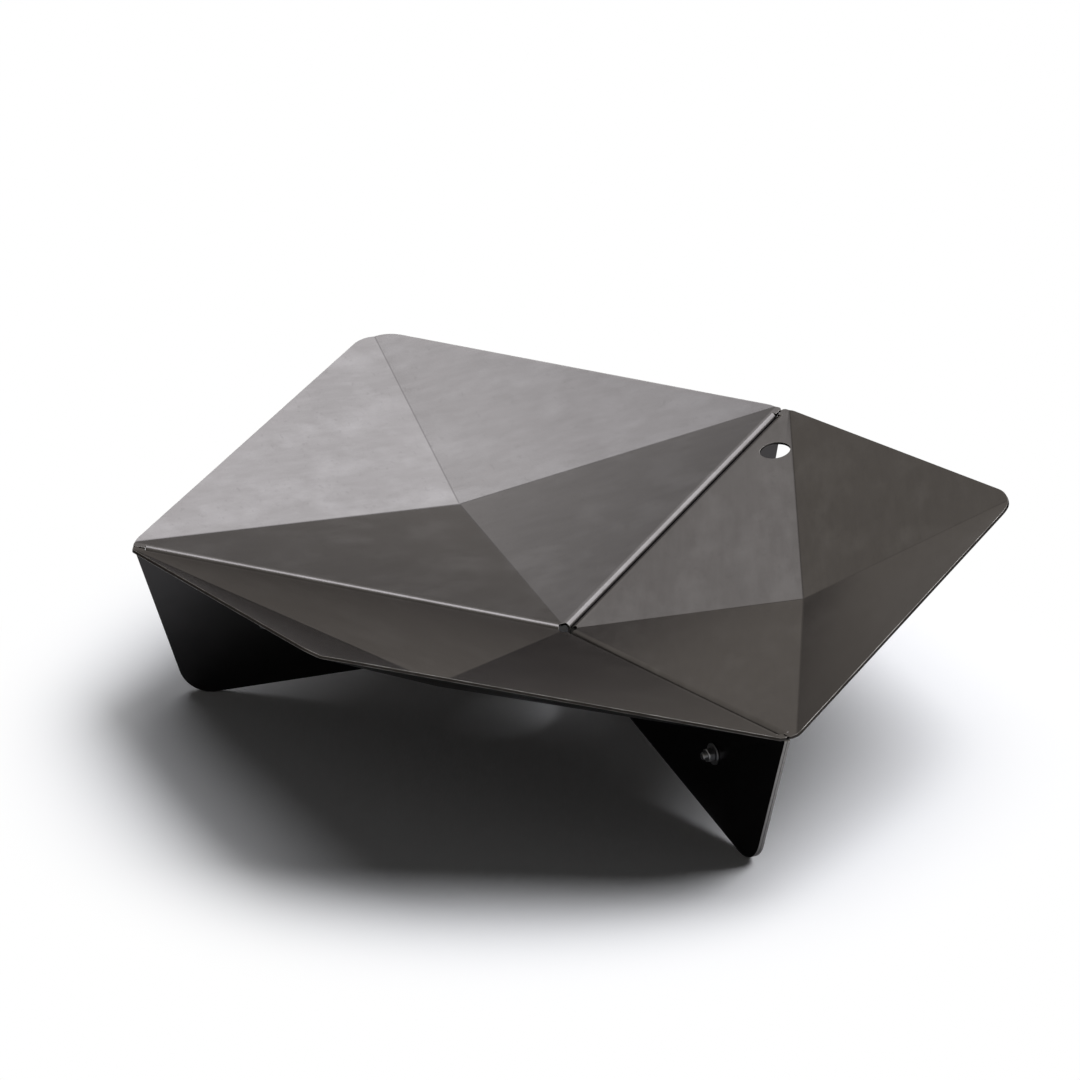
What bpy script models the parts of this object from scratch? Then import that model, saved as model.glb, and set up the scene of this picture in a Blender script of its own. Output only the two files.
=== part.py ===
# Fire bowl of three folded steel panels, bolted together along three seams.
# Metres, +Z up. The origin is on the ground, under the middle of the bowl's box.
# Each panel is one sheet: two outer facets, two inner facets, and a flange along each seam.
# Two neighbouring flanges lie face to face and form a leg, clamped by one bolt.

from math import acos, asin, atan2, cos, pi, radians, sin, sqrt, tan

import bmesh
import bpy
from mathutils import Matrix, Vector
from mathutils.geometry import intersect_line_line_2d, intersect_line_sphere_2d

# Bowl, heights above the ground
SEAM_RADIUS = 0.450         # axis to the sharp corner of the rim at a seam
SEAM_HEIGHT = 0.1646
TIP_RADIUS = 0.4537         # axis to the sharp corner of the rim at a panel's tip
TIP_HEIGHT = 0.2433
FOLD_RADIUS = 0.2417        # axis to the point where a panel's folds meet
FOLD_HEIGHT = 0.1216
CENTRE_HEIGHT = 0.0805      # where the three seams would meet
CENTRE_OPENING = 0.0105     # radius of the drain opening
TIP_ROUND = 0.058           # rounding of the rim at the tips, seen from above
SEAM_ROUND = 0.035          # rounding of the rim at the seams
SIDE_FOLD_INSET = 0.009     # sharp rim corner at a seam to where the side fold meets the rim

# Sheet
SHEET = 0.003
BEND_RADIUS = 0.007         # outer radius of the bend from facet to flange
CLEARANCE = 0.0003          # between pieces that touch

# Relief between the outer end of each bend and the lip that closes the seam at the rim
LIP_LENGTH = 0.0052
RELIEF_LENGTH = 0.0075
RELIEF_WIDTH = 0.0024       # across the seam, both panels together
RELIEF_SLIT = 0.0008
LIP_ROUND = 0.004

# Legs, in the seam's upright plane
LEG_TOP_INSET = 0.0059      # the outer edge aims at a point this far inside the seam corner
LEG_TOP_GAP = 0.0010        # between the lip and the top of the leg under it
LEG_TOP_ROUND = 0.002
LEG_INNER_DEPTH = 0.0115    # seam line to the lower edge, at the drain opening
FOOT_CENTRE = 0.3681        # axis to the middle of the foot's rounding
FOOT_ROUND = 0.033
FOOT_FLAT = 0.006           # length of the level stretch that stands on the ground

# Pole hole, in the right panel only
POLE_HOLE = 0.033
POLE_HOLE_ALONG = 0.3662    # from the axis, along the seam
POLE_HOLE_OFF = 0.0353      # from the seam

# Fasteners, one set at each leg
BOLT_ALONG = 0.310          # from the axis, along the seam
BOLT_DROP = 0.0555          # below the seam line
BOLT_SIZE = 0.008
BOLT_LENGTH = 0.020
BOLT_CHAMFER = 0.0008
HEX_FLATS = 0.013           # across the flats of the head and the nut
HEX_CHAMFER = 0.0009        # height lost at each corner
HEX_SLOPE = radians(30)
HEAD_HEIGHT = 0.0053
NUT_HEIGHT = 0.0068
WASHER_WIDTH = 0.022
WASHER_THICK = 0.0015
BOLT_PLAY = 0.0005          # between the shank and its hole in each flange, all round

# Smoothness of the round stretches
CORNER_STEPS = 8
BEND_STEPS = 6
FOOT_STEPS = 12
SMALL_STEPS = 4
ROUND_SIDES = 36            # a multiple of six, so that all corners of a hexagon are alike

# Direction of each panel's tip, and of each seam, in degrees
PANELS = {"panel_right": 0, "panel_back": 120, "panel_front": 240}
SEAMS = {"back": 60, "left": 180, "front": 300}

STEEL = (0.105, 0.100, 0.092)
ZINC = (0.52, 0.53, 0.54)

# A half panel lies between its fold, along +X, and its seam
HALF_PANEL = radians(60)
ALONG = Vector((cos(HALF_PANEL), sin(HALF_PANEL), 0))
INTO = Vector((sin(HALF_PANEL), -cos(HALF_PANEL), 0))
UP = Vector((0, 0, 1))
SEAM_OFF = CLEARANCE / 2


def clear_scene():
    for obj in list(bpy.data.objects):
        bpy.data.objects.remove(obj)


def make_collection(name):
    collection = bpy.data.collections.new(name)
    bpy.context.scene.collection.children.link(collection)
    return collection


def make_material(name, colour, roughness):
    material = bpy.data.materials.new(name)
    material.use_nodes = True
    shader = material.node_tree.nodes["Principled BSDF"]
    shader.inputs["Base Color"].default_value = (*colour, 1)
    shader.inputs["Roughness"].default_value = roughness
    shader.inputs["Metallic"].default_value = 1
    return material


def add_object(name, mesh, collection, parent=None):
    obj = bpy.data.objects.new(name, mesh)
    obj.parent = parent
    collection.objects.link(obj)
    return obj


def add_empty(name, collection, parent=None, turn=0):
    empty = add_object(name, None, collection, parent)
    empty.rotation_euler.z = radians(turn)
    return empty


def as_cutter(obj):
    obj.hide_render = True
    obj.display_type = "WIRE"
    return obj


def add_boolean(obj, cutter, operation):
    modifier = obj.modifiers.new(cutter.name, "BOOLEAN")
    modifier.operation = operation
    modifier.object = cutter


def mesh_from(name, bm):
    mesh = bpy.data.meshes.new(name)
    bm.to_mesh(mesh)
    bm.free()
    return mesh


# Flat outlines and planes

def polar(radius, angle):
    return Vector((radius * cos(angle), radius * sin(angle)))


def arc(centre, radius, start, end, steps):
    return [centre + polar(radius, start + (end - start) * i / steps) for i in range(steps + 1)]


def angle_of(vector):
    return atan2(vector.y, vector.x)


def fillet(before, corner, after, radius, steps):
    """The points of the arc that rounds a corner of a flat outline."""
    back = (before - corner).normalized()
    ahead = (after - corner).normalized()
    half = back.angle(ahead) / 2
    centre = corner + (back + ahead).normalized() * (radius / sin(half))
    start = (corner + back * (radius / tan(half)) - centre).normalized()
    end = (corner + ahead * (radius / tan(half)) - centre).normalized()
    return [centre + start.slerp(end, i / steps) * radius for i in range(steps + 1)]


def tangent_angle(centre, radius, point, side):
    """Direction, from a circle's centre, of the place where a line from the point touches it."""
    return angle_of(point - centre) + side * acos(radius / (point - centre).length)


def on_seam(along, off):
    """A point in plan, from its distance along the seam and its distance from the seam."""
    return ALONG * along + INTO * off


def seam_outline(points):
    return [on_seam(*point) for point in points]


def facet_plane(a, b, c):
    """The plane through three points, as one of them and the normal that faces up."""
    normal = (b - a).cross(c - a).normalized()
    return a, normal * (1 if normal.z > 0 else -1)


def lifted(point, facet):
    """The point of a facet straight above or below a point in plan."""
    base, normal = facet
    fall = (normal.x * (point.x - base.x) + normal.y * (point.y - base.y)) / normal.z
    return Vector((point.x, point.y, base.z - fall))


def seam_height(along):
    return CENTRE_HEIGHT + (SEAM_HEIGHT - CENTRE_HEIGHT) * along / SEAM_RADIUS


# The upper surface's corner points, and its two facets on this side of the fold
SEAM_CORNER = on_seam(SEAM_RADIUS, 0) + UP * SEAM_HEIGHT
TIP_CORNER = Vector((TIP_RADIUS, 0, TIP_HEIGHT))
FOLD_POINT = Vector((FOLD_RADIUS, 0, FOLD_HEIGHT))
CENTRE_POINT = UP * CENTRE_HEIGHT
RIM = (TIP_CORNER - SEAM_CORNER).xy.normalized()
INNER_FACET = facet_plane(CENTRE_POINT, SEAM_CORNER, FOLD_POINT)
FOLD_END = lifted(SEAM_CORNER.xy + RIM * SIDE_FOLD_INSET, INNER_FACET)
OUTER_FACET = facet_plane(FOLD_POINT, FOLD_END, TIP_CORNER)

# The seam corner's rounding is centred on the seam
SEAM_HALF_ANGLE = (-ALONG).xy.angle(RIM)
ROUND_CENTRE = SEAM_RADIUS - SEAM_ROUND / sin(SEAM_HALF_ANGLE)

RIM_END = ROUND_CENTRE + SEAM_ROUND
BEND_END = RIM_END - LIP_LENGTH - RELIEF_LENGTH
SLIT_END = BEND_END + RELIEF_SLIT


def bend_arc():
    """Offsets of the bend's round surface from the line where facet and flange would meet."""
    top, side = INNER_FACET[1], -INTO
    angle = top.angle(side)
    sink = (top + side) * (BEND_RADIUS / (1 + top.dot(side)))
    offsets = []
    for i in range(BEND_STEPS + 1):
        share = i / BEND_STEPS
        normal = (top * sin((1 - share) * angle) + side * sin(share * angle)) / sin(angle)
        offsets.append(normal * BEND_RADIUS - sink)
    return offsets


BEND = bend_arc()
BEND_OFF = SEAM_OFF + BEND[0].dot(INTO)
BEND_START = sqrt(CENTRE_OPENING ** 2 - BEND_OFF ** 2)


def bend_point(offset, along):
    """The point, at that distance along the seam, of one of the bend's straight lines."""
    foot = on_seam(along - offset.dot(ALONG), SEAM_OFF)
    return lifted(foot, INNER_FACET) + offset


def lip_rounding():
    """Centre of the lip's rounding, along the seam and off it, and where it meets the rim's arc."""
    reach = SEAM_ROUND - LIP_ROUND
    off = SEAM_OFF + LIP_ROUND
    centre = Vector((ROUND_CENTRE + sqrt(reach ** 2 - off ** 2), off))
    return centre, asin(off / reach)


def fold_crossing():
    """Where the side fold crosses the rim's arc, as a direction from the arc's centre."""
    end = Vector((FOLD_END.dot(ALONG), FOLD_END.dot(INTO)))
    fold = Vector((FOLD_POINT.dot(ALONG), FOLD_POINT.dot(INTO)))
    centre = Vector((ROUND_CENTRE, 0))
    hits = intersect_line_sphere_2d(fold, end, centre, SEAM_ROUND)
    nearest = min((hit for hit in hits if hit), key=lambda hit: (end - hit).length)
    return angle_of(nearest - centre)


def drain_edge():
    end = HALF_PANEL - asin(BEND_OFF / CENTRE_OPENING)
    return arc(Vector((0, 0)), CENTRE_OPENING, 0, end, SMALL_STEPS)


def relief_edge():
    """From the end of the bend, round the relief, to the lip's edge at the seam."""
    half = RELIEF_WIDTH / 2
    end = Vector((BEND_END + RELIEF_LENGTH - half, 0))
    sides = [(BEND_END, BEND_OFF), (SLIT_END, BEND_OFF), (SLIT_END, half)]
    return sides + arc(end, half, pi / 2, asin(SEAM_OFF / half), SMALL_STEPS)


def inner_outline():
    """The inner facet: round the drain opening, out along the seam, and back along the folds."""
    centre, meet = lip_rounding()
    round_centre = Vector((ROUND_CENTRE, 0))
    lip = arc(centre, LIP_ROUND, -pi / 2, meet, SMALL_STEPS)
    rim = arc(round_centre, SEAM_ROUND, meet, fold_crossing(), SMALL_STEPS)[1:]
    return drain_edge() + seam_outline(relief_edge() + lip + rim) + [FOLD_POINT]


def outer_outline():
    """The outer facet: along the rim from the side fold to the tip, and back along the folds."""
    round_centre = Vector((ROUND_CENTRE, 0))
    end = pi / 2 - SEAM_HALF_ANGLE
    rim = arc(round_centre, SEAM_ROUND, fold_crossing(), end, CORNER_STEPS)
    return seam_outline(rim) + tip_rounding() + [FOLD_POINT]


def tip_rounding():
    """The half of the tip's rounding on this side of the fold, ending on the fold."""
    corner, side = TIP_CORNER.xy, SEAM_CORNER.xy
    mirrored = Vector((side.x, -side.y))
    whole = fillet(side, corner, mirrored, TIP_ROUND, 2 * CORNER_STEPS)
    return whole[:CORNER_STEPS] + [Vector((whole[CORNER_STEPS].x, 0))]


def under_lip(along):
    """The top edge of the leg, on the seam's upright plane, at a place under the lip."""
    sheet_height = SHEET / INNER_FACET[1].z
    return Vector((along, seam_height(along) - sheet_height - LEG_TOP_GAP))


def flange_outline():
    """The flange, along the seam and up: its top, its outer edge, the foot, and its lower edge."""
    half_flat = asin(FOOT_FLAT / 2 / FOOT_ROUND)
    foot = Vector((FOOT_CENTRE, FOOT_ROUND * cos(half_flat)))
    aim = Vector((SEAM_RADIUS - LEG_TOP_INSET, SEAM_HEIGHT))
    inner = Vector((BEND_START, seam_height(BEND_START) - LEG_INNER_DEPTH))
    outer_turn = tangent_angle(foot, FOOT_ROUND, aim, -1)
    inner_turn = tangent_angle(foot, FOOT_ROUND, inner, 1)
    bottom = -pi / 2
    rounding = arc(foot, FOOT_ROUND, outer_turn, bottom + half_flat, FOOT_STEPS)
    rounding += arc(foot, FOOT_ROUND, bottom - half_flat, inner_turn - 2 * pi, 1)

    top = under_lip(SLIT_END)
    corner = intersect_line_line_2d(top, under_lip(SEAM_RADIUS), aim, rounding[0])
    step = [Vector((SLIT_END, bend_point(BEND[-1], BEND_END).z)), top]
    return step + fillet(top, corner, rounding[0], LEG_TOP_ROUND, SMALL_STEPS) + rounding + [inner]


def half_panel():
    """Upper and outer surface of a panel, from its fold to the flange at its seam."""
    bm = bmesh.new()

    def add_face(points):
        bm.faces.new([bm.verts.new(point) for point in points])

    add_face([lifted(point, INNER_FACET) for point in reversed(inner_outline())])
    add_face([lifted(point, OUTER_FACET) for point in reversed(outer_outline())])
    for upper, lower in zip(BEND, BEND[1:]):
        add_face([bend_point(upper, BEND_START), bend_point(upper, BEND_END),
                  bend_point(lower, BEND_END), bend_point(lower, BEND_START)])
    outline = [on_seam(point.x, SEAM_OFF) + UP * point.y for point in flange_outline()]
    add_face([bend_point(BEND[-1], BEND_START), bend_point(BEND[-1], BEND_END)] + outline)
    bmesh.ops.remove_doubles(bm, verts=bm.verts, dist=0.00001)
    return mesh_from("panel", bm)


# Round and six-sided pieces, each along +Z

def cylinder(name, diameter, length, sides=ROUND_SIDES):
    bm = bmesh.new()
    bmesh.ops.create_cone(bm, cap_ends=True, segments=sides, radius1=diameter / 2,
                          radius2=diameter / 2, depth=length)
    return mesh_from(name, bm)


def turned(name, profile, closed, collection, parent=None):
    """A turned piece. The profile of radius and height runs down its outer side."""
    bm = bmesh.new()
    verts = [bm.verts.new((radius, 0, height)) for radius, height in profile]
    for a, b in zip(verts, verts[1:] + verts[:1] if closed else verts[1:]):
        bm.edges.new((a, b))
    obj = add_object(name, mesh_from(name, bm), collection, parent)
    screw = obj.modifiers.new("turn", "SCREW")
    screw.steps = screw.render_steps = ROUND_SIDES
    screw.use_merge_vertices = True
    screw.merge_threshold = 0.00001
    return obj


def hex_piece(name, height, chamfered_base, collection, cutters, parent):
    """A six-sided piece that stands on z = 0, its corners turned down at the top, or at both ends."""
    corner = HEX_FLATS / 2 / cos(pi / 6)
    obj = add_object(name, cylinder(name, 2 * corner, height, 6), collection, parent)
    obj.data.transform(Matrix.Translation(UP * height / 2))
    past = HEX_CHAMFER
    inner = corner - (HEX_CHAMFER + past) / tan(HEX_SLOPE)
    outer = corner + past / tan(HEX_SLOPE)
    profile = [(0, height + past), (inner, height + past), (outer, height - HEX_CHAMFER - past)]
    if chamfered_base:
        profile += [(outer, HEX_CHAMFER + past), (inner, -past), (0, -past)]
    else:
        profile += [(outer, -past), (0, -past)]
    corners = turned(name + "_corners", profile, False, cutters, obj)
    corners.rotation_euler.z = pi / ROUND_SIDES
    add_boolean(obj, as_cutter(corners), "INTERSECT")
    return obj


def bolt(name, base, collection, cutters, parent):
    """A bolt along +Z, from the underside of its head. Two flats of the head lie level."""
    head = hex_piece(name, HEAD_HEIGHT, False, collection, cutters, parent)
    head.rotation_euler = (pi, 0, pi / 6)
    radius = BOLT_SIZE / 2
    tip = radius - BOLT_CHAMFER
    profile = [(0, HEAD_HEIGHT / 2), (radius, HEAD_HEIGHT / 2), (radius, BOLT_CHAMFER - BOLT_LENGTH),
               (tip, -BOLT_LENGTH), (0, -BOLT_LENGTH)]
    add_boolean(head, as_cutter(turned(name + "_shank", profile, False, cutters, head)), "UNION")
    head.location.z = base
    return head


def nut(name, base, collection, cutters, parent):
    obj = hex_piece(name, NUT_HEIGHT, True, collection, cutters, parent)
    bore = BOLT_SIZE / 2 + CLEARANCE
    sink = bore + BOLT_CHAMFER
    past = CLEARANCE
    profile = [(0, NUT_HEIGHT + past), (sink + past, NUT_HEIGHT + past), (bore, NUT_HEIGHT - BOLT_CHAMFER),
               (bore, BOLT_CHAMFER), (sink + past, -past), (0, -past)]
    add_boolean(obj, as_cutter(turned(name + "_bore", profile, False, cutters, obj)), "DIFFERENCE")
    obj.location.z = base
    return obj


def washer(name, base, collection, parent):
    outer = WASHER_WIDTH / 2
    bore = BOLT_SIZE / 2 + CLEARANCE
    profile = [(bore, WASHER_THICK), (outer, WASHER_THICK), (outer, 0), (bore, 0)]
    obj = turned(name, profile, True, collection, parent)
    obj.location.z = base
    return obj


# Assembly

def panel(name, turn, sheet, collection, cutters, frame):
    obj = add_object(name, sheet, collection, frame)
    obj.rotation_euler.z = radians(turn)
    mirror = obj.modifiers.new("other half", "MIRROR")
    mirror.use_axis = (False, True, False)
    mirror.merge_threshold = 0.00001
    thickness = obj.modifiers.new("sheet", "SOLIDIFY")
    thickness.thickness = SHEET
    thickness.offset = -1
    thickness.use_even_offset = True
    hole = cylinder("sheet_hole", BOLT_SIZE + 2 * BOLT_PLAY, 4 * SHEET)
    for side in (1, -1):
        cutter = add_object(f"{name}_hole", hole, cutters, obj)
        place = on_seam(BOLT_ALONG, 0) + UP * (seam_height(BOLT_ALONG) - BOLT_DROP)
        cutter.location = (place.x, side * place.y, place.z)
        cutter.rotation_euler = (pi / 2, 0, side * HALF_PANEL)
        add_boolean(obj, as_cutter(cutter), "DIFFERENCE")
    return obj


def pole_hole(obj, cutters):
    cutter = add_object("pole_hole", cylinder("pole_hole", POLE_HOLE, 8 * SHEET), cutters, obj)
    cutter.location = lifted(on_seam(POLE_HOLE_ALONG, POLE_HOLE_OFF), INNER_FACET)
    cutter.rotation_euler = INNER_FACET[1].to_track_quat("Z", "Y").to_euler()
    add_boolean(obj, as_cutter(cutter), "DIFFERENCE")


def fasteners(seam, turn, collection, cutters, frame):
    """One bolt with its washer and its nut, through both flanges of a leg."""
    leg = add_empty(f"leg_{seam}", collection, frame, turn)
    axis = add_empty(f"bolt_axis_{seam}", collection, leg)
    axis.location = (BOLT_ALONG, 0, seam_height(BOLT_ALONG) - BOLT_DROP)
    axis.rotation_euler.x = pi / 2
    flange = SEAM_OFF + SHEET + CLEARANCE
    return [bolt(f"bolt_{seam}", -flange, collection, cutters, axis),
            washer(f"washer_{seam}", flange, collection, axis),
            nut(f"nut_{seam}", flange + WASHER_THICK + CLEARANCE, collection, cutters, axis)]


def main():
    clear_scene()
    bowl = make_collection("fire_bowl")
    cutters = make_collection("cutters")
    steel = make_material("raw_steel", STEEL, 0.42)
    zinc = make_material("zinc_plated_steel", ZINC, 0.35)

    frame = add_empty("bowl_axis", bowl)
    tip_reach = tip_rounding()[-1].x
    frame.location.x = (RIM_END - tip_reach) / 2

    sheet = half_panel()
    sheet.materials.append(steel)
    for name, turn in PANELS.items():
        obj = panel(name, turn, sheet, bowl, cutters, frame)
        if name == "panel_right":
            pole_hole(obj, cutters)
    for seam, turn in SEAMS.items():
        for piece in fasteners(seam, turn, bowl, cutters, frame):
            piece.data.materials.append(zinc)
            piece.data.shade_smooth()
            piece.data.set_sharp_from_angle(angle=radians(35))


main()
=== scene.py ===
# Looks of the fire bowl: fine panels and fasteners in raw and zinc plated steel, on a pale floor.
# Metres and radians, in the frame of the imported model, unless a comment says otherwise.

from math import acos, asin, atan2, ceil, cos, pi, radians, sin, sqrt, tan

import bmesh
import bpy
from mathutils import Matrix, Vector
from mathutils.geometry import intersect_line_line_2d, intersect_line_sphere_2d, intersect_point_line


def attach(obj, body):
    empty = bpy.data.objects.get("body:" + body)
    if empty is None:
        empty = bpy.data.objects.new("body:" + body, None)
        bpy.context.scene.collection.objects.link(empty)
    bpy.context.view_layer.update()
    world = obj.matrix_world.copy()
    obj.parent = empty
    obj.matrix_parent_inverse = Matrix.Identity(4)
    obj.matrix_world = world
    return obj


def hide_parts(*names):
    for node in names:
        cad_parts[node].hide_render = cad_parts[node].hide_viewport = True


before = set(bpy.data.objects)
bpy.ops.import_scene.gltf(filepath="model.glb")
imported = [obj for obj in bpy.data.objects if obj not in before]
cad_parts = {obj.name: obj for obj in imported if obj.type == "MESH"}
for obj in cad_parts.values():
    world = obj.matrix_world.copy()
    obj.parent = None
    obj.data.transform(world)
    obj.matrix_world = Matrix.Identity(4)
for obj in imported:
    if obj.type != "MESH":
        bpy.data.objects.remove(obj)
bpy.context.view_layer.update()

# Bowl, heights above the ground
SEAM_RADIUS = 0.450         # axis to the sharp corner of the rim at a seam
SEAM_HEIGHT = 0.1646
TIP_RADIUS = 0.4537         # axis to the sharp corner of the rim at a panel's tip
TIP_HEIGHT = 0.2433
FOLD_RADIUS = 0.2417        # axis to the point where a panel's folds meet
FOLD_HEIGHT = 0.1216
CENTRE_HEIGHT = 0.0805      # where the three seams would meet
CENTRE_OPENING = 0.0105     # radius of the drain opening
TIP_ROUND = 0.058           # rounding of the rim at the tips, seen from above
SEAM_ROUND = 0.035          # rounding of the rim at the seams
SIDE_FOLD_INSET = 0.009     # sharp rim corner at a seam to where the side fold meets the rim

# Sheet
SHEET = 0.003
BEND_RADIUS = 0.007
CLEARANCE = 0.0003
FOLD_SOFTNESS = 0.0013      # half the width of each fold's rounding
EDGE_ROUND = 0.0003         # rounding of the cut edges
DRILL_LENGTH = 6 * SHEET    # of the cutters for the round holes

# Relief between the outer end of each bend and the lip that closes the seam at the rim
LIP_LENGTH = 0.0052
RELIEF_LENGTH = 0.0075
RELIEF_WIDTH = 0.0024       # across the seam, both panels together
RELIEF_SLIT = 0.0002
LIP_ROUND = 0.004

# Legs, in the seam's upright plane
LEG_TOP_INSET = 0.0059      # the outer edge aims at a point this far inside the seam corner
LEG_TOP_GAP = 0.0004        # between the lip and the top of the leg under it
LEG_TOP_ROUND = 0.002
LEG_INNER_DEPTH = 0.0115    # seam line to the lower edge, at the drain opening
FOOT_CENTRE = 0.3681        # axis to the middle of the foot's rounding
FOOT_ROUND = 0.033
FOOT_FLAT = 0.006           # level stretch under the foot
LEG_MARK_START, LEG_MARK_END = 0.0033, 0.0042   # depths between which the legs' painted shade and bare cut edges set in

# Pole hole
POLE_HOLE = 0.033
POLE_HOLE_ALONG = 0.3662    # along the seam, from the axis
POLE_HOLE_OFF = 0.0353      # off the seam

# Fasteners
BOLT_ALONG = 0.310          # along the seam, from the axis
BOLT_DROP = 0.0555          # below the seam line
BOLT_SIZE = 0.008
BOLT_LENGTH = 0.020
BOLT_CHAMFER = 0.0008
THREAD_PITCH = 0.00125
THREAD_DEPTH = 0.0007
THREAD_CREST = 0.2          # share of the pitch that is flat
THREAD_SIDES = 48
THREAD_ROWS = 10            # for each pitch
THREAD_EDGE_ROUND = 0.00005
HEX_FLATS = 0.013
HEX_CHAMFER = 0.0009
HEX_SLOPE = radians(30)
HEX_EDGE_ROUND = 0.00015
HEAD_HEIGHT = 0.0053
NUT_HEIGHT = 0.0068
WASHER_WIDTH = 0.022
WASHER_THICK = 0.0015
WASHER_EDGE_ROUND = 0.0003
BOLT_PLAY = 0.0005          # between the bolt and the wall of its hole

# Smoothness of the round stretches, and angles from which an edge counts as sharp
CORNER_STEPS = 24
BEND_STEPS = 14
FOOT_STEPS = 20
SMALL_STEPS = 8
FOLD_STEPS = 4
EDGE_STEPS = 2
HOLE_SIDES = 96
TURN_SIDES = 72
SHEET_EDGE = radians(50)    # a panel's edges are rounded from this angle on
FASTENER_EDGE = radians(25) # and a fastener's from this one
SHADED_EDGE = radians(40)   # edges aren't shaded smooth from this angle on
MERGE = 0.00001             # points nearer than this are one

# Turns about the bowl's axis, in degrees
PANELS = {"panel_right": 0, "panel_back": 120, "panel_front": 240}
SEAMS = {"back": 60, "left": 180, "front": 300}

# A half panel lies between its fold, along +X, and its seam
HALF_PANEL = radians(60)
ALONG = Vector((cos(HALF_PANEL), sin(HALF_PANEL), 0))
INTO = Vector((sin(HALF_PANEL), -cos(HALF_PANEL), 0))
UP = Vector((0, 0, 1))
SEAM_OFF = CLEARANCE / 2

# Camera, its lens and sensor in millimetres
CAMERA_PLACE = (0.11590, -4.59795, 2.36935)
CAMERA_HEADING = radians(1.795)
CAMERA_DROP = radians(25.438)
CAMERA_ROLL = radians(0.584)
CAMERA_LENS = 166.69
CAMERA_SENSOR = 36

# Lamps: azimuth from +Y towards +X, elevation and half angle in degrees, brightness (1 is white)
LAMPS = {"softbox": (58.3, 55.5, 24.8, 5.44), "side_softbox": (-9.0, 61.2, 26.6, 1.55)}
LAMP_AIM = Vector((0, 0, 0.12))
LAMP_DISTANCE = 40
LAMP_COLOUR = (0.95, 0.96, 1.0)

# Surroundings. Directions are one long, so that their Y and Z lie between -1 and 1
FILL = 0.046                        # brightness as they light the floor
WHITE = (1.0, 1.0, 1.0)             # to the eye and as light
ROOM_COLOUR = (1.0, 0.94, 0.84)     # in reflections, as are the values below
DARK_SIDE = 0.55                    # brightness on the viewer's side
DARK_FROM, DARK_TO = -0.1, -0.7     # Y of a direction, where the darkening begins and ends
DARK_LOW = 0.66                     # brightness just above the ground, as a share of that higher up
LOW_TO = 0.30                       # Z of a direction, where that share has risen to 1

# Floor
FLOOR_SIZE = 30
FLOOR_COLOUR = (0.97, 0.97, 0.97)
FADE_CENTRE = Vector((-0.03, -0.05, 0))
FADE_START, FADE_END = 0.38, 0.60   # distances between which the floor turns plain white to the eye

# Finishes: the colours that the metals reflect, their bumps, and places in a panel's list of materials
STEEL_DARK, STEEL_LIGHT = (0.0570, 0.0545, 0.0542), (0.0640, 0.0611, 0.0608)
STEEL_STREAK = (0.0740, 0.0709, 0.0712)
STEEL_SMUDGE = (0.0850, 0.0820, 0.0826)
STEEL_PIT = (0.034, 0.032, 0.032)
# painted shade, darkening each fold's crease
FOLD_PAINTED_SHADE = (0.016, 0.015, 0.015)
# painted shade: the legs darkened where they stand in the bowl's shadow
LEG_PAINTED_SHADE = (0.034, 0.0333, 0.0345)
RIM_DARK, RIM_LIGHT = (0.026, 0.024, 0.024), (0.044, 0.041, 0.040)
BARE_DARK, BARE_LIGHT = (0.15, 0.146, 0.143), (0.27, 0.264, 0.26)
WORN_DARK, WORN_LIGHT = (0.075, 0.071, 0.069), (0.23, 0.225, 0.22)
ZINC_DARK, ZINC_LIGHT = (0.17, 0.175, 0.185), (0.34, 0.345, 0.35)
SEED_SPREAD = 30            # how far apart the panels' patterns are drawn
WAVE_HEIGHT, GRAIN_HEIGHT, CUT_GRAIN_HEIGHT = 0.0008, 0.00002, 0.00003
CUT_FACE, WORN_EDGE = 1, 2


def add_camera():
    camera = bpy.data.objects.new("camera", bpy.data.cameras.new("camera"))
    camera.data.sensor_width = CAMERA_SENSOR
    camera.data.lens = CAMERA_LENS
    turn = Matrix.Rotation(CAMERA_HEADING, 4, "Z")
    tilt = Matrix.Rotation(pi / 2 - CAMERA_DROP, 4, "X")
    roll = Matrix.Rotation(CAMERA_ROLL, 4, "Z")
    camera.matrix_world = Matrix.Translation(CAMERA_PLACE) @ turn @ tilt @ roll
    bpy.context.scene.collection.objects.link(camera)
    bpy.context.scene.camera = camera


def add_lamp(name, azimuth, elevation, half_angle, brightness):
    """A round softbox, as wide as its half angle says, seen from the bowl."""
    light = bpy.data.lights.new(name, "AREA")
    light.shape = "DISK"
    light.size = 2 * LAMP_DISTANCE * tan(radians(half_angle))
    # A lamp of this shape is as bright as its energy over pi times its area
    light.energy = brightness * pi * pi * (light.size / 2) ** 2
    light.color = LAMP_COLOUR
    obj = bpy.data.objects.new(name, light)
    level = polar(cos(radians(elevation)), radians(90 - azimuth))
    outward = Vector((level.x, level.y, sin(radians(elevation))))
    obj.location = LAMP_AIM + outward * LAMP_DISTANCE
    obj.rotation_euler = outward.to_track_quat("Z", "Y").to_euler()
    obj.visible_camera = False
    bpy.context.scene.collection.objects.link(obj)


def combined(tree, operation, first, second):
    """A product or the like of a socket and another socket or number."""
    node = tree.nodes.new("ShaderNodeMath")
    node.operation = operation
    tree.links.new(first, node.inputs[0])
    if isinstance(second, float):
        node.inputs[1].default_value = second
    else:
        tree.links.new(second, node.inputs[1])
    return node.outputs[0]


def seen_directly(tree):
    """1 for rays from the camera or through a mirrored or clear surface, 0 for rays that only light."""
    path = tree.nodes.new("ShaderNodeLightPath").outputs
    mirrored = combined(tree, "MAXIMUM", path["Is Glossy Ray"], path["Is Transmission Ray"])
    return combined(tree, "MAXIMUM", path["Is Camera Ray"], mirrored)


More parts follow.
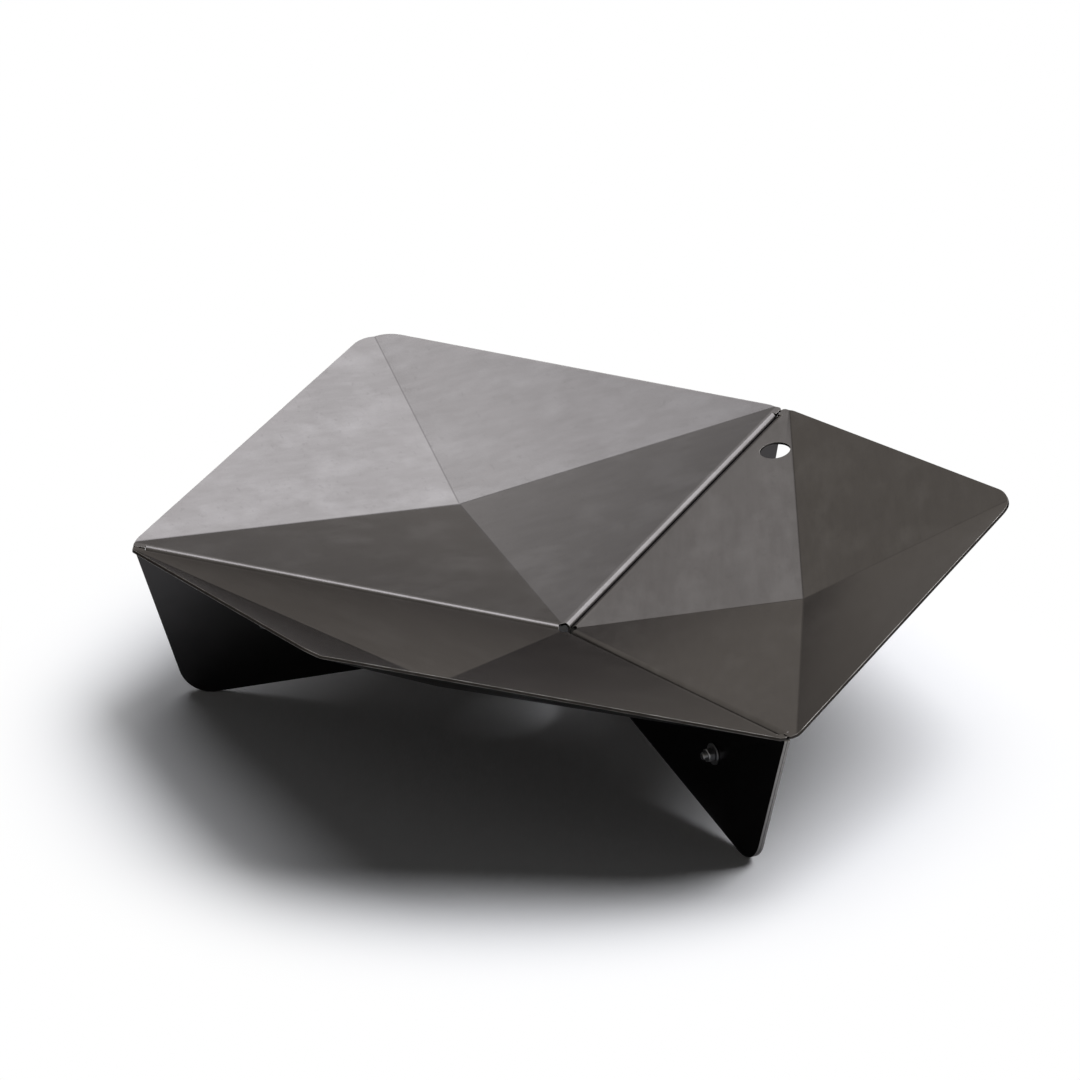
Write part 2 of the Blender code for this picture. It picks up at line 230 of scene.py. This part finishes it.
def add_world():
    """White to the eye, a weak fill as light, and in reflections darker towards the viewer's side."""
    world = bpy.data.worlds.new("studio")
    bpy.context.scene.world = world
    world.use_nodes = True
    tree = world.node_tree
    background = tree.nodes["Background"]

    direction = tree.nodes.new("ShaderNodeSeparateXYZ")
    tree.links.new(tree.nodes.new("ShaderNodeTexCoord").outputs["Generated"], direction.inputs[0])
    ahead = mapped(tree, direction.outputs["Y"], DARK_TO, DARK_FROM, DARK_SIDE, 1, "SMOOTHSTEP")
    above = mapped(tree, direction.outputs["Z"], 0, LOW_TO, DARK_LOW, 1)
    room = combined(tree, "MULTIPLY", above, ahead)
    path = tree.nodes.new("ShaderNodeLightPath").outputs
    colour = blended(tree, path["Is Glossy Ray"], WHITE, ROOM_COLOUR)
    tree.links.new(colour, background.inputs["Color"])
    seen = combined(tree, "MAXIMUM", room, path["Is Camera Ray"])
    seen = combined(tree, "MULTIPLY", seen, seen_directly(tree))
    tree.links.new(combined(tree, "MAXIMUM", seen, FILL), background.inputs["Strength"])


def floor_material():
    """Pale and matt, and plain white to the eye away from the bowl's shadow."""
    material = bpy.data.materials.new("floor")
    material.use_nodes = True
    tree = material.node_tree
    tree.nodes.clear()
    matt = tree.nodes.new("ShaderNodeBsdfDiffuse")
    matt.inputs["Color"].default_value = (*FLOOR_COLOUR, 1)
    white = tree.nodes.new("ShaderNodeEmission")
    place = tree.nodes.new("ShaderNodeNewGeometry")
    distance = tree.nodes.new("ShaderNodeVectorMath")
    distance.operation = "DISTANCE"
    distance.inputs[1].default_value = FADE_CENTRE
    tree.links.new(place.outputs["Position"], distance.inputs[0])
    fade = mapped(tree, distance.outputs["Value"], FADE_START, FADE_END, 0, 1, "SMOOTHSTEP")
    mix = tree.nodes.new("ShaderNodeMixShader")
    output = tree.nodes.new("ShaderNodeOutputMaterial")
    tree.links.new(combined(tree, "MULTIPLY", fade, seen_directly(tree)), mix.inputs["Fac"])
    tree.links.new(matt.outputs[0], mix.inputs[1])
    tree.links.new(white.outputs[0], mix.inputs[2])
    tree.links.new(mix.outputs[0], output.inputs["Surface"])
    return material


def add_floor():
    bm = bmesh.new()
    bmesh.ops.create_grid(bm, x_segments=1, y_segments=1, size=FLOOR_SIZE / 2)
    floor = add_object("floor", mesh_from("floor", bm), (0, 0, -CLEARANCE))
    floor.data.materials.append(floor_material())


# Helpers

def add_object(name, mesh, location=(0, 0, 0)):
    obj = bpy.data.objects.new(name, mesh)
    obj.location = location
    bpy.context.scene.collection.objects.link(obj)
    return obj


def mesh_from(name, bm):
    mesh = bpy.data.meshes.new(name)
    bm.to_mesh(mesh)
    bm.free()
    return mesh


def apply_modifiers(obj):
    """Replaces the object's mesh with its evaluated one."""
    bpy.context.view_layer.update()
    depsgraph = bpy.context.evaluated_depsgraph_get()
    mesh = bpy.data.meshes.new_from_object(obj.evaluated_get(depsgraph))
    obj.modifiers.clear()
    obj.data = mesh


def cut(obj, cutter, operation="DIFFERENCE"):
    """Cuts the object with another, or keeps only what they share, and removes the other."""
    modifier = obj.modifiers.new("cut", "BOOLEAN")
    modifier.operation = operation
    modifier.object = cutter
    apply_modifiers(obj)
    bpy.data.objects.remove(cutter)


# Flat outlines and planes

def polar(radius, angle):
    return Vector((radius * cos(angle), radius * sin(angle)))


def arc(centre, radius, start, end, steps):
    return [centre + polar(radius, start + (end - start) * i / steps) for i in range(steps + 1)]


def angle_of(vector):
    return atan2(vector.y, vector.x)


def fillet(before, corner, after, radius, steps):
    """The points of the arc that rounds a corner of a flat outline."""
    back = (before - corner).normalized()
    ahead = (after - corner).normalized()
    half = back.angle(ahead) / 2
    centre = corner + (back + ahead).normalized() * (radius / sin(half))
    start = (corner + back * (radius / tan(half)) - centre).normalized()
    end = (corner + ahead * (radius / tan(half)) - centre).normalized()
    return [centre + start.slerp(end, i / steps) * radius for i in range(steps + 1)]


def tangent_angle(centre, radius, point, side):
    """Direction, from a circle's centre, of the place where a line from the point touches it."""
    return angle_of(point - centre) + side * acos(radius / (point - centre).length)


def on_seam(along, off):
    """A point in plan, from its distance along the seam and its distance from the seam."""
    return ALONG * along + INTO * off


def seam_outline(points):
    return [on_seam(*point) for point in points]


def facet_plane(a, b, c):
    """The plane through three points, as one of them and the normal that faces up."""
    normal = (b - a).cross(c - a).normalized()
    return a, normal * (1 if normal.z > 0 else -1)


def lifted(point, facet):
    """The point of a facet straight above or below a point in plan."""
    base, normal = facet
    fall = (normal.x * (point.x - base.x) + normal.y * (point.y - base.y)) / normal.z
    return Vector((point.x, point.y, base.z - fall))


def seam_height(along):
    return CENTRE_HEIGHT + (SEAM_HEIGHT - CENTRE_HEIGHT) * along / SEAM_RADIUS


# The upper surface's corner points, and its two facets on this side of the fold
SEAM_CORNER = on_seam(SEAM_RADIUS, 0) + UP * SEAM_HEIGHT
TIP_CORNER = Vector((TIP_RADIUS, 0, TIP_HEIGHT))
FOLD_POINT = Vector((FOLD_RADIUS, 0, FOLD_HEIGHT))
CENTRE_POINT = UP * CENTRE_HEIGHT
RIM = (TIP_CORNER - SEAM_CORNER).xy.normalized()
INNER_FACET = facet_plane(CENTRE_POINT, SEAM_CORNER, FOLD_POINT)
FOLD_END = lifted(SEAM_CORNER.xy + RIM * SIDE_FOLD_INSET, INNER_FACET)
OUTER_FACET = facet_plane(FOLD_POINT, FOLD_END, TIP_CORNER)

# The seam corner's rounding is centred on the seam
SEAM_HALF_ANGLE = (-ALONG).xy.angle(RIM)
ROUND_CENTRE = SEAM_RADIUS - SEAM_ROUND / sin(SEAM_HALF_ANGLE)

RIM_END = ROUND_CENTRE + SEAM_ROUND
BEND_END = RIM_END - LIP_LENGTH - RELIEF_LENGTH
SLIT_END = BEND_END + RELIEF_SLIT


def bend_arc():
    """Offsets of the bend's round surface from the line where facet and flange would meet."""
    top, side = INNER_FACET[1], -INTO
    angle = top.angle(side)
    sink = (top + side) * (BEND_RADIUS / (1 + top.dot(side)))
    offsets = []
    for i in range(BEND_STEPS + 1):
        share = i / BEND_STEPS
        normal = (top * sin((1 - share) * angle) + side * sin(share * angle)) / sin(angle)
        offsets.append(normal * BEND_RADIUS - sink)
    return offsets


BEND = bend_arc()
BEND_OFF = SEAM_OFF + BEND[0].dot(INTO)
BEND_START = sqrt(CENTRE_OPENING ** 2 - BEND_OFF ** 2)


def bend_point(offset, along):
    """The point, at that distance along the seam, of one of the bend's straight lines."""
    foot = on_seam(along - offset.dot(ALONG), SEAM_OFF)
    return lifted(foot, INNER_FACET) + offset


def lip_rounding():
    """Centre of the lip's rounding, along the seam and off it, and where it meets the rim's arc."""
    reach = SEAM_ROUND - LIP_ROUND
    off = SEAM_OFF + LIP_ROUND
    centre = Vector((ROUND_CENTRE + sqrt(reach ** 2 - off ** 2), off))
    return centre, asin(off / reach)


def fold_crossing():
    """Where the side fold crosses the rim's arc, as a direction from the arc's centre."""
    end = Vector((FOLD_END.dot(ALONG), FOLD_END.dot(INTO)))
    fold = Vector((FOLD_POINT.dot(ALONG), FOLD_POINT.dot(INTO)))
    centre = Vector((ROUND_CENTRE, 0))
    hits = intersect_line_sphere_2d(fold, end, centre, SEAM_ROUND)
    nearest = min((hit for hit in hits if hit), key=lambda hit: (end - hit).length)
    return angle_of(nearest - centre)


def drain_edge():
    end = HALF_PANEL - asin(BEND_OFF / CENTRE_OPENING)
    return arc(Vector((0, 0)), CENTRE_OPENING, 0, end, SMALL_STEPS)


def relief_edge():
    """From the end of the bend, round the relief, to the lip's edge at the seam."""
    half = RELIEF_WIDTH / 2
    end = Vector((BEND_END + RELIEF_LENGTH - half, 0))
    sides = [(BEND_END, BEND_OFF), (SLIT_END, BEND_OFF), (SLIT_END, half)]
    return sides + arc(end, half, pi / 2, asin(SEAM_OFF / half), SMALL_STEPS)


def inner_outline():
    """The inner facet: round the drain opening, out along the seam, and back along the folds."""
    centre, meet = lip_rounding()
    round_centre = Vector((ROUND_CENTRE, 0))
    lip = arc(centre, LIP_ROUND, -pi / 2, meet, SMALL_STEPS)
    rim = arc(round_centre, SEAM_ROUND, meet, fold_crossing(), SMALL_STEPS)[1:]
    return drain_edge() + seam_outline(relief_edge() + lip + rim) + [FOLD_POINT]


def outer_outline():
    """The outer facet: along the rim from the side fold to the tip, and back along the folds."""
    round_centre = Vector((ROUND_CENTRE, 0))
    end = pi / 2 - SEAM_HALF_ANGLE
    rim = arc(round_centre, SEAM_ROUND, fold_crossing(), end, CORNER_STEPS)
    return seam_outline(rim) + tip_rounding() + [FOLD_POINT]


def tip_rounding():
    """The half of the tip's rounding on this side of the fold, ending on the fold."""
    corner, side = TIP_CORNER.xy, SEAM_CORNER.xy
    mirrored = Vector((side.x, -side.y))
    whole = fillet(side, corner, mirrored, TIP_ROUND, 2 * CORNER_STEPS)
    return whole[:CORNER_STEPS] + [Vector((whole[CORNER_STEPS].x, 0))]


def under_lip(along):
    """The top edge of the leg, on the seam's upright plane, at a place under the lip."""
    sheet_height = SHEET / INNER_FACET[1].z
    return Vector((along, seam_height(along) - sheet_height - LEG_TOP_GAP))


def flange_outline():
    """The flange, along the seam and up: its top, its outer edge, the foot, and its lower edge."""
    half_flat = asin(FOOT_FLAT / 2 / FOOT_ROUND)
    foot = Vector((FOOT_CENTRE, FOOT_ROUND * cos(half_flat)))
    aim = Vector((SEAM_RADIUS - LEG_TOP_INSET, SEAM_HEIGHT))
    inner = Vector((BEND_START, seam_height(BEND_START) - LEG_INNER_DEPTH))
    outer_turn = tangent_angle(foot, FOOT_ROUND, aim, -1)
    inner_turn = tangent_angle(foot, FOOT_ROUND, inner, 1)
    bottom = -pi / 2
    rounding = arc(foot, FOOT_ROUND, outer_turn, bottom + half_flat, FOOT_STEPS)
    rounding += arc(foot, FOOT_ROUND, bottom - half_flat, inner_turn - 2 * pi, SMALL_STEPS)

    top = under_lip(SLIT_END)
    corner = intersect_line_line_2d(top, under_lip(SEAM_RADIUS), aim, rounding[0])
    return [top] + fillet(top, corner, rounding[0], LEG_TOP_ROUND, SMALL_STEPS) + rounding + [inner]


# Panels

def panel_faces():
    """Upper and outer surface of half a panel, as lists of points, from its fold to its flange."""
    faces = [[lifted(point, INNER_FACET) for point in reversed(inner_outline())],
             [lifted(point, OUTER_FACET) for point in reversed(outer_outline())]]
    for upper, lower in zip(BEND, BEND[1:]):
        faces.append([bend_point(upper, BEND_START), bend_point(upper, BEND_END),
                      bend_point(lower, BEND_END), bend_point(lower, BEND_START)])
    outline = [on_seam(point.x, SEAM_OFF) + UP * point.y for point in flange_outline()]
    faces.append([bend_point(BEND[-1], BEND_START), bend_point(BEND[-1], BEND_END)] + outline)
    return faces


def is_fold(edge):
    """True for the edges between two facets: they end on the point where the folds meet."""
    if len(edge.link_faces) != 2:
        return False
    return any((vert.co - FOLD_POINT).length < CLEARANCE for vert in edge.verts)


def panel_surface():
    """The whole panel's upper and outer surface, with rounded folds."""
    bm = bmesh.new()
    for points in panel_faces():
        bm.faces.new([bm.verts.new(point) for point in points])
        bm.faces.new([bm.verts.new((point.x, -point.y, point.z)) for point in reversed(points)])
    bmesh.ops.remove_doubles(bm, verts=bm.verts, dist=MERGE)
    folds = [edge for edge in bm.edges if is_fold(edge)]
    bmesh.ops.bevel(bm, geom=folds, offset=FOLD_SOFTNESS, offset_type="OFFSET", segments=FOLD_STEPS,
                    profile=0.5, affect="EDGES")
    return mesh_from("panel", bm)


def mark_fold_shade(mesh):
    """Gives each point its nearness to a fold's crease, where the painted shade lies: 1 on it, 0 at the
    edge of its rounding.
    """
    mirrored = Vector((FOLD_END.x, -FOLD_END.y, FOLD_END.z))
    marks = mesh.attributes.new("fold_shade", "FLOAT", "POINT")
    for vert in mesh.vertices:
        gaps = []
        for end in (TIP_CORNER, FOLD_END, mirrored, CENTRE_POINT):
            gaps.append((vert.co - intersect_point_line(vert.co, FOLD_POINT, end)[0]).length)
        marks.data[vert.index].value = max(0, 1 - min(gaps) / FOLD_SOFTNESS)


def mark_places(mesh):
    """Keeps each point's place on the unturned panel, so that streaks run the same way on each."""
    marks = mesh.attributes.new("sheet_place", "FLOAT_VECTOR", "POINT")
    for vert in mesh.vertices:
        marks.data[vert.index].vector = vert.co


def mark_legs(mesh):
    """Gives each point 1 on the legs and 0 on the facets, and a value between them on the bends."""
    marks = mesh.attributes.new("leg_mark", "FLOAT", "POINT")
    for vert in mesh.vertices:
        place = Vector((vert.co.x, abs(vert.co.y), vert.co.z))
        near = (BEND_OFF - place.dot(INTO)) / (BEND_OFF - SEAM_OFF - SHEET - CLEARANCE)
        depth = lifted(place, INNER_FACET).z - place.z
        deep = (depth - LEG_MARK_START) / (LEG_MARK_END - LEG_MARK_START)
        marks.data[vert.index].value = max(0, min(1, near)) * max(0, min(1, deep))


def cylinder(diameter, length, sides):
    bm = bmesh.new()
    bmesh.ops.create_cone(bm, cap_ends=True, segments=sides, radius1=diameter / 2,
                          radius2=diameter / 2, depth=length)
    return mesh_from("cylinder", bm)


def drill(obj, diameter, place, direction):
    """Drills a round hole through the sheet. Its wall is a cut face."""
    mesh = cylinder(diameter, DRILL_LENGTH, HOLE_SIDES)
    for material in obj.data.materials:
        mesh.materials.append(material)
    for polygon in mesh.polygons:
        polygon.material_index = CUT_FACE
    turn = direction.to_track_quat("Z", "Y").to_matrix().to_4x4()
    mesh.transform(Matrix.Translation(place) @ turn)
    cut(obj, add_object("drill", mesh))


def panel(name, place, finish):
    """A panel of even thickness, with its holes, rubbed edges and the marks that its finish reads."""
    obj = add_object(name + "_sheet", panel_surface())
    for material in finish:
        obj.data.materials.append(material)
    thickness = obj.modifiers.new("sheet", "SOLIDIFY")
    thickness.thickness = SHEET
    thickness.offset = -1
    thickness.use_even_offset = True
    thickness.material_offset_rim = CUT_FACE
    apply_modifiers(obj)

    bolt_place = on_seam(BOLT_ALONG, SEAM_OFF) + UP * (seam_height(BOLT_ALONG) - BOLT_DROP)
    for side in (1, -1):
        centre = Vector((bolt_place.x, side * bolt_place.y, bolt_place.z))
        drill(obj, BOLT_SIZE + 2 * BOLT_PLAY, centre, Vector((INTO.x, side * INTO.y, 0)))
    if name == "panel_right":
        hole_place = lifted(on_seam(POLE_HOLE_ALONG, POLE_HOLE_OFF), INNER_FACET)
        drill(obj, POLE_HOLE, hole_place, INNER_FACET[1])

    edges = obj.modifiers.new("edges", "BEVEL")
    edges.width = EDGE_ROUND
    edges.segments = EDGE_STEPS
    edges.limit_method = "ANGLE"
    edges.angle_limit = SHEET_EDGE
    edges.use_clamp_overlap = False
    edges.harden_normals = True
    edges.material = WORN_EDGE
    apply_modifiers(obj)
    mark_fold_shade(obj.data)
    mark_legs(obj.data)
    mark_places(obj.data)
    obj.data.transform(place)
    obj.data.shade_smooth()
    obj.data.set_sharp_from_angle(angle=SHADED_EDGE)
    normals = obj.modifiers.new("normals", "WEIGHTED_NORMAL")
    normals.keep_sharp = True
    normals.weight = 100
    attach(obj, "root")
    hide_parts(name)


# Fasteners, each along +Z of the bolt's own frame

def turned(name, profile, closed):
    """A turned piece. The profile of radius and height runs down its outer side."""
    bm = bmesh.new()
    verts = [bm.verts.new((radius, 0, height)) for radius, height in profile]
    for a, b in zip(verts, verts[1:] + verts[:1] if closed else verts[1:]):
        bm.edges.new((a, b))
    obj = add_object(name, mesh_from(name, bm))
    screw = obj.modifiers.new("turn", "SCREW")
    screw.steps = screw.render_steps = TURN_SIDES
    screw.use_merge_vertices = True
    screw.merge_threshold = MERGE
    apply_modifiers(obj)
    return obj


def hex_piece(name, height, chamfered_base):
    """A six-sided piece that stands on z = 0, its corners turned down at the top, or at both ends."""
    corner = HEX_FLATS / 2 / cos(pi / 6)
    obj = add_object(name, cylinder(2 * corner, height, 6))
    obj.data.transform(Matrix.Translation(UP * height / 2))
    past = HEX_CHAMFER
    inner = corner - (HEX_CHAMFER + past) / tan(HEX_SLOPE)
    outer = corner + past / tan(HEX_SLOPE)
    profile = [(0, height + past), (inner, height + past), (outer, height - HEX_CHAMFER - past)]
    if chamfered_base:
        profile += [(outer, HEX_CHAMFER + past), (inner, -past), (0, -past)]
    else:
        profile += [(outer, -past), (0, -past)]
    corners = turned(name + "_corners", profile, False)
    corners.rotation_euler.z = pi / TURN_SIDES
    cut(obj, corners, "INTERSECT")
    return obj


def thread_radius(turn, height):
    """Radius of the bolt's thread, from the angle as a share of a turn and the height from its end."""
    phase = (height / THREAD_PITCH - turn) % 1
    ridge = min(1, (1 - abs(2 * phase - 1)) / (1 - THREAD_CREST))
    radius = BOLT_SIZE / 2 - THREAD_DEPTH * (1 - ridge)
    return min(radius, BOLT_SIZE / 2 - BOLT_CHAMFER + height)


def threaded_rod(name):
    """A closed rod from inside the head down to its chamfered end, with a thread along it."""
    bm = bmesh.new()
    length = BOLT_LENGTH + HEAD_HEIGHT / 2
    rows = ceil(length / THREAD_PITCH * THREAD_ROWS)
    rings = []
    for row in range(rows + 1):
        height = length * row / rows
        ring = []
        for side in range(THREAD_SIDES):
            turn = side / THREAD_SIDES
            place = polar(thread_radius(turn, height), 2 * pi * turn)
            ring.append(bm.verts.new((place.x, place.y, height - BOLT_LENGTH)))
        rings.append(ring)
    for lower, upper in zip(rings, rings[1:]):
        for i in range(THREAD_SIDES):
            j = (i + 1) % THREAD_SIDES
            bm.faces.new((lower[i], lower[j], upper[j], upper[i]))
    bm.faces.new(list(reversed(rings[0])))
    bm.faces.new(rings[-1])
    return add_object(name, mesh_from(name, bm))


def finish_fastener(obj, node, place, edge_round, material):
    """Rounds a fastener's edges, and puts it in its place."""
    edges = obj.modifiers.new("edges", "BEVEL")
    edges.width = edge_round
    edges.segments = EDGE_STEPS
    edges.limit_method = "ANGLE"
    edges.angle_limit = FASTENER_EDGE
    apply_modifiers(obj)
    obj.data.transform(place)
    obj.data.shade_smooth()
    obj.data.set_sharp_from_angle(angle=SHADED_EDGE)
    obj.data.materials.clear()
    obj.data.materials.append(material)
    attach(obj, "root")
    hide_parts(node)


def washer(name):
    """A flat washer. The edge that faces the nut is rounded by the punch."""
    outer, bore = WASHER_WIDTH / 2, BOLT_SIZE / 2 + CLEARANCE
    top, edge = Vector((0, WASHER_THICK)), Vector((outer, WASHER_THICK))
    rounded = fillet(top, edge, Vector((outer, 0)), WASHER_EDGE_ROUND, SMALL_STEPS)
    profile = [(bore, WASHER_THICK)] + [tuple(point) for point in rounded] + [(outer, 0), (bore, 0)]
    return turned(name, profile, True)


def nut(name):
    """A nut with turned down corners and a countersunk bore at both ends."""
    obj = hex_piece(name, NUT_HEIGHT, True)
    bore, past = BOLT_SIZE / 2 + CLEARANCE, CLEARANCE
    sink = bore + BOLT_CHAMFER + past
    top = NUT_HEIGHT + past
    profile = [(0, top), (sink, top), (bore, NUT_HEIGHT - BOLT_CHAMFER), (bore, BOLT_CHAMFER),
               (sink, -past), (0, -past)]
    cut(obj, turned(name + "_bore", profile, False))
    return obj


def fasteners(seam, bowl, material):
    """The bolt, its washer and its nut, which clamp the two flanges of a leg."""
    leg = bowl @ Matrix.Rotation(radians(SEAMS[seam]), 4, "Z")
    place = Vector((BOLT_ALONG, 0, seam_height(BOLT_ALONG) - BOLT_DROP))
    axis = leg @ Matrix.Translation(place) @ Matrix.Rotation(pi / 2, 4, "X")
    flange = SEAM_OFF + SHEET + CLEARANCE
    level_flats = Matrix.Rotation(pi / 6, 4, "Z")
    bolt_place = axis @ Matrix.Translation(UP * -flange) @ level_flats @ Matrix.Rotation(pi, 4, "X")
    nut_place = axis @ Matrix.Translation(UP * (flange + WASHER_THICK + CLEARANCE))
    washer_place = axis @ Matrix.Translation(UP * flange)

    rod = threaded_rod(f"bolt_{seam}_rod")
    finish_fastener(rod, f"bolt_{seam}", bolt_place, THREAD_EDGE_ROUND, material)
    head = hex_piece(f"bolt_{seam}_head", HEAD_HEIGHT, False)
    finish_fastener(head, f"bolt_{seam}", bolt_place, HEX_EDGE_ROUND, material)
    finish_fastener(nut(f"nut_{seam}_fine"), f"nut_{seam}", nut_place, HEX_EDGE_ROUND, material)
    flat = washer(f"washer_{seam}_fine")
    finish_fastener(flat, f"washer_{seam}", washer_place, HEX_EDGE_ROUND, material)


# Materials

def metal(name, roughness, edge_tint):
    """A metal whose colour comes from nodes. Returns the material, its tree and shader."""
    material = bpy.data.materials.new(name)
    material.use_nodes = True
    tree = material.node_tree
    shader = tree.nodes["Principled BSDF"]
    shader.inputs["Metallic"].default_value = 1
    shader.inputs["Roughness"].default_value = roughness
    shader.inputs["Specular Tint"].default_value = (*edge_tint, 1)
    return material, tree, shader


def noise(tree, vector, scale, detail, roughness, seed=None):
    node = tree.nodes.new("ShaderNodeTexNoise")
    node.noise_dimensions = "4D"
    node.inputs["Scale"].default_value = scale
    node.inputs["Detail"].default_value = detail
    node.inputs["Roughness"].default_value = roughness
    tree.links.new(vector, node.inputs["Vector"])
    if seed:
        tree.links.new(seed, node.inputs["W"])
    return node.outputs["Fac"]


def mapped(tree, value, low, high, to_low, to_high, interpolation="LINEAR"):
    node = tree.nodes.new("ShaderNodeMapRange")
    node.interpolation_type = interpolation
    node.inputs["From Min"].default_value = low
    node.inputs["From Max"].default_value = high
    node.inputs["To Min"].default_value = to_low
    node.inputs["To Max"].default_value = to_high
    tree.links.new(value, node.inputs["Value"])
    return node.outputs["Result"]


def blended(tree, factor, low, high):
    """A colour between two colours, or between a colour and a socket."""
    node = tree.nodes.new("ShaderNodeMix")
    node.data_type = "RGBA"
    tree.links.new(factor, node.inputs["Factor"])
    for socket, value in ((node.inputs[6], low), (node.inputs[7], high)):
        if isinstance(value, tuple):
            socket.default_value = (*value, 1)
        else:
            tree.links.new(value, socket)
    return node.outputs[2]


def layered(tree, under, pattern, low, high, share, over):
    """Lays a colour over another: not at all where a pattern is low, that share where it is high."""
    return blended(tree, mapped(tree, pattern, low, high, 0, share), under, over)


def bump(tree, height, distance, normal=None):
    node = tree.nodes.new("ShaderNodeBump")
    node.inputs["Distance"].default_value = distance
    tree.links.new(height, node.inputs["Height"])
    if normal:
        tree.links.new(normal, node.inputs["Normal"])
    return node.outputs["Normal"]


def panel_seed(tree):
    """A number that differs from panel to panel, so that each has its own pattern."""
    info = tree.nodes.new("ShaderNodeObjectInfo")
    return mapped(tree, info.outputs["Random"], 0, 1, 0, SEED_SPREAD)


def attribute(tree, name, output="Fac"):
    """What the mesh keeps for each point under that name, as a number or as a vector."""
    node = tree.nodes.new("ShaderNodeAttribute")
    node.attribute_name = name
    return node.outputs[output]


def stretched(tree, vector, factors):
    """A place with its coordinates multiplied, which draws out a pattern where a factor is small."""
    node = tree.nodes.new("ShaderNodeVectorMath")
    node.operation = "MULTIPLY"
    node.inputs[1].default_value = factors
    tree.links.new(vector, node.inputs[0])
    return node.outputs[0]


def raw_steel():
    """Raw sheet with mill scale and a thin oil film: dark, satin, cloudy, streaked and smudged, with
    painted shade along the folds and on the legs.
    """
    material, tree, shader = metal("raw_steel", 0.25, (0.66, 0.65, 0.655))
    place, seed = attribute(tree, "sheet_place", "Vector"), panel_seed(tree)
    # Each pattern has its scale, detail and roughness
    clouds = noise(tree, place, 7, 3, 0.5, seed)
    patches = noise(tree, stretched(tree, place, (1, 0.5, 1)), 30, 5, 0.6, seed)
    streaks = noise(tree, stretched(tree, place, (1, 0.12, 1)), 160, 4, 0.6, seed)
    specks = noise(tree, place, 190, 3, 0.6, seed)
    grain = noise(tree, place, 520, 2, 0.6, seed)
    colour = layered(tree, STEEL_DARK, clouds, 0.3, 0.7, 1, STEEL_LIGHT)
    colour = layered(tree, colour, streaks, 0.3, 0.75, 0.7, STEEL_STREAK)
    colour = layered(tree, colour, patches, 0.48, 0.72, 0.8, STEEL_SMUDGE)
    colour = layered(tree, colour, specks, 0.60, 0.72, 0.25, STEEL_PIT)
    # Painted shade along the folds' creases
    colour = layered(tree, colour, attribute(tree, "fold_shade"), 0, 1, 0.7, FOLD_PAINTED_SHADE)
    # Painted shade on the legs, which stand in the bowl's shadow
    colour = layered(tree, colour, attribute(tree, "leg_mark"), 0, 1, 0.8, LEG_PAINTED_SHADE)
    tree.links.new(colour, shader.inputs["Base Color"])
    tree.links.new(mapped(tree, patches, 0.3, 0.7, 0.23, 0.27), shader.inputs["Roughness"])
    wavy = bump(tree, noise(tree, place, 5, 1, 0.4, seed), WAVE_HEIGHT)
    tree.links.new(bump(tree, grain, GRAIN_HEIGHT, wavy), shader.inputs["Normal"])
    return material


def cut_edge():
    """The sheet's cut faces: dull and finely mottled, dark along the rim, bare on the legs."""
    material, tree, shader = metal("cut_edge", 0.42, (0.3, 0.3, 0.3))
    specks = noise(tree, attribute(tree, "sheet_place", "Vector"), 900, 2, 0.5, panel_seed(tree))
    rim = blended(tree, specks, RIM_DARK, RIM_LIGHT)
    bare = blended(tree, specks, BARE_DARK, BARE_LIGHT)
    tree.links.new(blended(tree, attribute(tree, "leg_mark"), rim, bare), shader.inputs["Base Color"])
    tree.links.new(bump(tree, specks, CUT_GRAIN_HEIGHT), shader.inputs["Normal"])
    return material


def worn_edge():
    """The ridges of the cut edges, rubbed almost bare."""
    material, tree, shader = metal("worn_edge", 0.34, (0.7, 0.7, 0.7))
    wear = noise(tree, attribute(tree, "sheet_place", "Vector"), 60, 4, 0.6, panel_seed(tree))
    colour = layered(tree, WORN_DARK, wear, 0.35, 0.65, 1, WORN_LIGHT)
    tree.links.new(colour, shader.inputs["Base Color"])
    return material


def zinc():
    """Zinc plating, dulled, with a blotchy film."""
    material, tree, shader = metal("zinc_plated_steel", 0.36, (0.7, 0.7, 0.7))
    place = tree.nodes.new("ShaderNodeTexCoord").outputs["Object"]
    blotches = noise(tree, place, 300, 3, 0.6)
    tree.links.new(blended(tree, blotches, ZINC_DARK, ZINC_LIGHT), shader.inputs["Base Color"])
    tree.links.new(mapped(tree, blotches, 0.3, 0.7, 0.3, 0.46), shader.inputs["Roughness"])
    return material


def main():
    bpy.context.scene.view_settings.view_transform = "Standard"
    add_camera()
    for name, values in LAMPS.items():
        add_lamp(name, *values)
    add_world()
    add_floor()

    tip_reach = tip_rounding()[-1].x
    bowl = Matrix.Translation(((RIM_END - tip_reach) / 2, 0, 0))
    finish = (raw_steel(), cut_edge(), worn_edge())
    for name, turn in PANELS.items():
        panel(name, bowl @ Matrix.Rotation(radians(turn), 4, "Z"), finish)
    plating = zinc()
    for seam in SEAMS:
        fasteners(seam, bowl, plating)


main()
